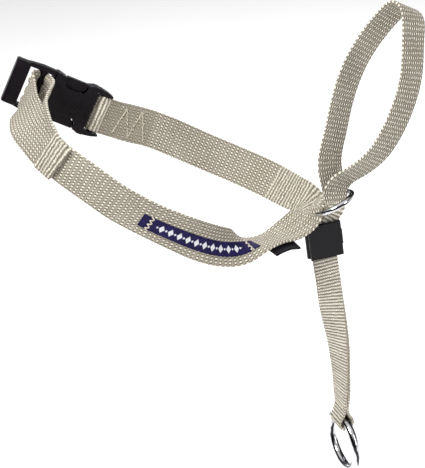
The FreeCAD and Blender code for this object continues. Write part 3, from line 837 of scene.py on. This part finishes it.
def droop(piece, line, free_from, slope):
    """Lowers what lies further than free_from millimetres below the line's middle."""
    for vertex in piece.data.vertices:
        at = np.array(vertex.co) / MM
        i = int(np.argmin(np.linalg.norm(line.c - at, axis=1)))
        beyond = -float((at - line.c[i]) @ line.s[i]) - free_from
        if beyond > 0:
            vertex.co.z -= beyond * slope * MM


droop(tag, band, 6.5, 0.3)


def bar_tack(name, line, u, wide, shift, offset, passes=7, length=1.7):
    """Dense zigzag of thread across a strap."""
    points = []
    for k in range(passes + 1):
        points.append((u + (length / 2 if k % 2 else -length / 2), shift + wide * (k / passes - 0.5)))
    paths = stitch_row(line, points, offset, 9.0)
    return wear(stitches(name, paths, 0.3), thread_skin)


tack_offset = OUTER - 0.32
label_tack_front = bar_tack("label_tack_front_thread", band, label_a + 5.0, 7.8, LABEL_SHIFT, tack_offset)
label_tack_rear = bar_tack("label_tack_rear_thread", band, label_b - 4.5, 7.8, LABEL_SHIFT, tack_offset)
tag_tack = bar_tack("tag_tack_thread", band, (tag_a + tag_b) / 2, 4.0, -5.6, WEB / 2 + 1.0, passes=5)
lead_tacks = []
for name, z in (("lead_tack_upper_thread", -134.3), ("lead_tack_lower_thread", -142.3)):
    u = lead_line.near(vec(74.5, -3.0, z))
    lead_tacks.append(bar_tack(name, lead_line, u, 9.5, 0.0, -(WEB / 2 + 0.14), passes=9, length=1.5))

# ---- zigzag seam behind the female half ----
seam_first = band.near(vec(-28, 36, 17))
zigzag = []
for k, v in enumerate((-7.2, 7.0, -7.2, 7.0, -7.2)):
    zigzag.append((seam_first + (far_u - seam_first) * k / 4, v))
seam = stitches("buckle_seam_thread", stitch_row(band, zigzag, WEB / 2 + 0.2, 2.4), 0.32)
wear(seam, thread_skin)


# ---- hard parts keep their shape and get rounded edges ----
def soften(node, width):
    """Rounds the sharp edges of a CAD node by width millimetres, with modifiers only."""
    piece = nodes[node]
    weld = piece.modifiers.new("weld", "WELD")
    weld.merge_threshold = 0.00002
    flat = piece.modifiers.new("flat", "DECIMATE")
    flat.decimate_type = "DISSOLVE"
    flat.angle_limit = math.radians(1.5)
    bevel = piece.modifiers.new("round", "BEVEL")
    bevel.width = width * MM
    bevel.segments = 3
    bevel.limit_method = "ANGLE"
    bevel.angle_limit = math.radians(32)
    bevel.harden_normals = False
    normal = piece.modifiers.new("shade", "WEIGHTED_NORMAL")
    normal.keep_sharp = False
    return piece


wear(soften("buckle_female", 0.7), buckle_skin)
wear(soften("buckle_male", 1.3), buckle_skin)
for name in ("release_arm_upper", "release_arm_lower"):
    wear(soften(name, 0.5), buckle_skin)
for name in ("clamp_body", "clamp_cover"):
    wear(soften(name, 0.4), clamp_skin)
for name in ("throat_ring", "leash_ring", "clamp_pin"):
    wear(nodes[name], metal_skin)

# ---- what rides on what, and the CAD node each piece takes the place of, which is hidden ----
for piece in (far_band, seam):
    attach(piece, "neck_band")
for piece in (adjuster, hem):
    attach(piece, "adjuster")
for piece in (chin_front, chin_back):
    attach(piece, "throat")
for piece in lead_tacks:
    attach(piece, "lead")
for piece in (near_band, label, tag, label_tack_front, label_tack_rear, tag_tack):
    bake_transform(piece)
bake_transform(nose)
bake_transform(lead)

for piece, node in (
    (far_band, "neck_strap"),
    (near_band, "neck_strap"),
    (label, "label"),
    (tag, "care_tag"),
    (label_tack_front, "label_tack_front"),
    (label_tack_rear, "label_tack_rear"),
    (tag_tack, "tag_tack"),
    (adjuster, "adjuster_strap"),
    (hem, "tail_hem"),
    (seam, "buckle_stitching"),
    (nose, "nose_loop"),
    (chin_front, "chin_strap"),
    (chin_back, "chin_strap"),
    (lead, "lead_tab"),
    (lead_tacks[0], "lead_tack_upper"),
    (lead_tacks[1], "lead_tack_lower"),
):
    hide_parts(node)

# ---- camera ----
target = Vector((15, 0, -36)) * MM
distance = 0.62
elevation = math.radians(25)
roll = math.radians(6)
view = Vector((0, math.cos(elevation), -math.sin(elevation)))
up = Vector((0, math.sin(elevation), math.cos(elevation)))
right = Vector((1, 0, 0))
cam_data = bpy.data.cameras.new("camera")
cam_data.sensor_fit = "HORIZONTAL"
cam_data.sensor_width = 36
cam_data.lens = 105.035
cam_data.clip_start = 0.01
cam_data.clip_end = 50
camera = bpy.data.objects.new("camera", cam_data)
bpy.context.scene.collection.objects.link(camera)
turned_right = right * math.cos(roll) - up * math.sin(roll)
turned_up = right * math.sin(roll) + up * math.cos(roll)
place = Matrix((turned_right, turned_up, -view)).transposed().to_4x4()
place.translation = target - view * distance
camera.matrix_world = place
bpy.context.scene.camera = camera

# ---- stage ----
floor_half = 6
floor_z = -0.36
corners = [(x * floor_half, y * floor_half, floor_z) for x, y in ((-1, -1), (1, -1), (1, 1), (-1, 1))]
floor_mesh = bpy.data.meshes.new("floor")
floor_mesh.from_pydata(corners, [], [(0, 1, 2, 3)])
floor = link("floor", floor_mesh)
stage = Shader("stage_paper")
paper = stage.noise(stage.place(), 3.0, 2.0)
white = stage.mix(stage.span(paper, 0.3, 0.7), (0.90, 0.90, 0.90), (0.92, 0.92, 0.92))
floor_mesh.materials.append(stage.set(
    Base_Color=white, Roughness=0.9, Emission_Color=(1, 1, 1, 1), Emission_Strength=0.16))

world = bpy.data.worlds.new("studio")
bpy.context.scene.world = world
world.use_nodes = True
tree = world.node_tree
background = tree.nodes["Background"]
sky = tree.nodes.new("ShaderNodeTexCoord")
split = tree.nodes.new("ShaderNodeSeparateXYZ")
ramp = tree.nodes.new("ShaderNodeValToRGB")
tree.links.new(sky.outputs["Generated"], split.inputs[0])
tree.links.new(split.outputs[2], ramp.inputs[0])
ramp.color_ramp.elements[0].position = 0.42
ramp.color_ramp.elements[0].color = (0.10, 0.10, 0.11, 1)
ramp.color_ramp.elements[1].position = 0.78
ramp.color_ramp.elements[1].color = (1.0, 1.0, 1.0, 1)
tree.links.new(ramp.outputs[0], background.inputs["Color"])
background.inputs["Strength"].default_value = 0.85
bpy.context.scene.view_settings.view_transform = "Standard"


def softbox(name, at, aim, size, power):
    """Rectangular light at a place, turned to its aim; size in metres, power in watts."""
    data = bpy.data.lights.new(name, "AREA")
    data.shape = "RECTANGLE"
    data.size, data.size_y = size
    data.energy = power
    light = bpy.data.objects.new(name, data)
    bpy.context.scene.collection.objects.link(light)
    light.location = at
    light.rotation_euler = (Vector(aim) - Vector(at)).to_track_quat("-Z", "Y").to_euler()


softbox("key", (-0.7, -0.9, 1.2), (0, 0, -0.05), (0.6, 0.6), 23)
softbox("fill", (1.2, -0.8, 0.35), (0, 0, -0.05), (0.5, 0.9), 4)
softbox("back", (0.2, 1.2, 0.9), (0, 0, 0), (1.0, 0.4), 12)
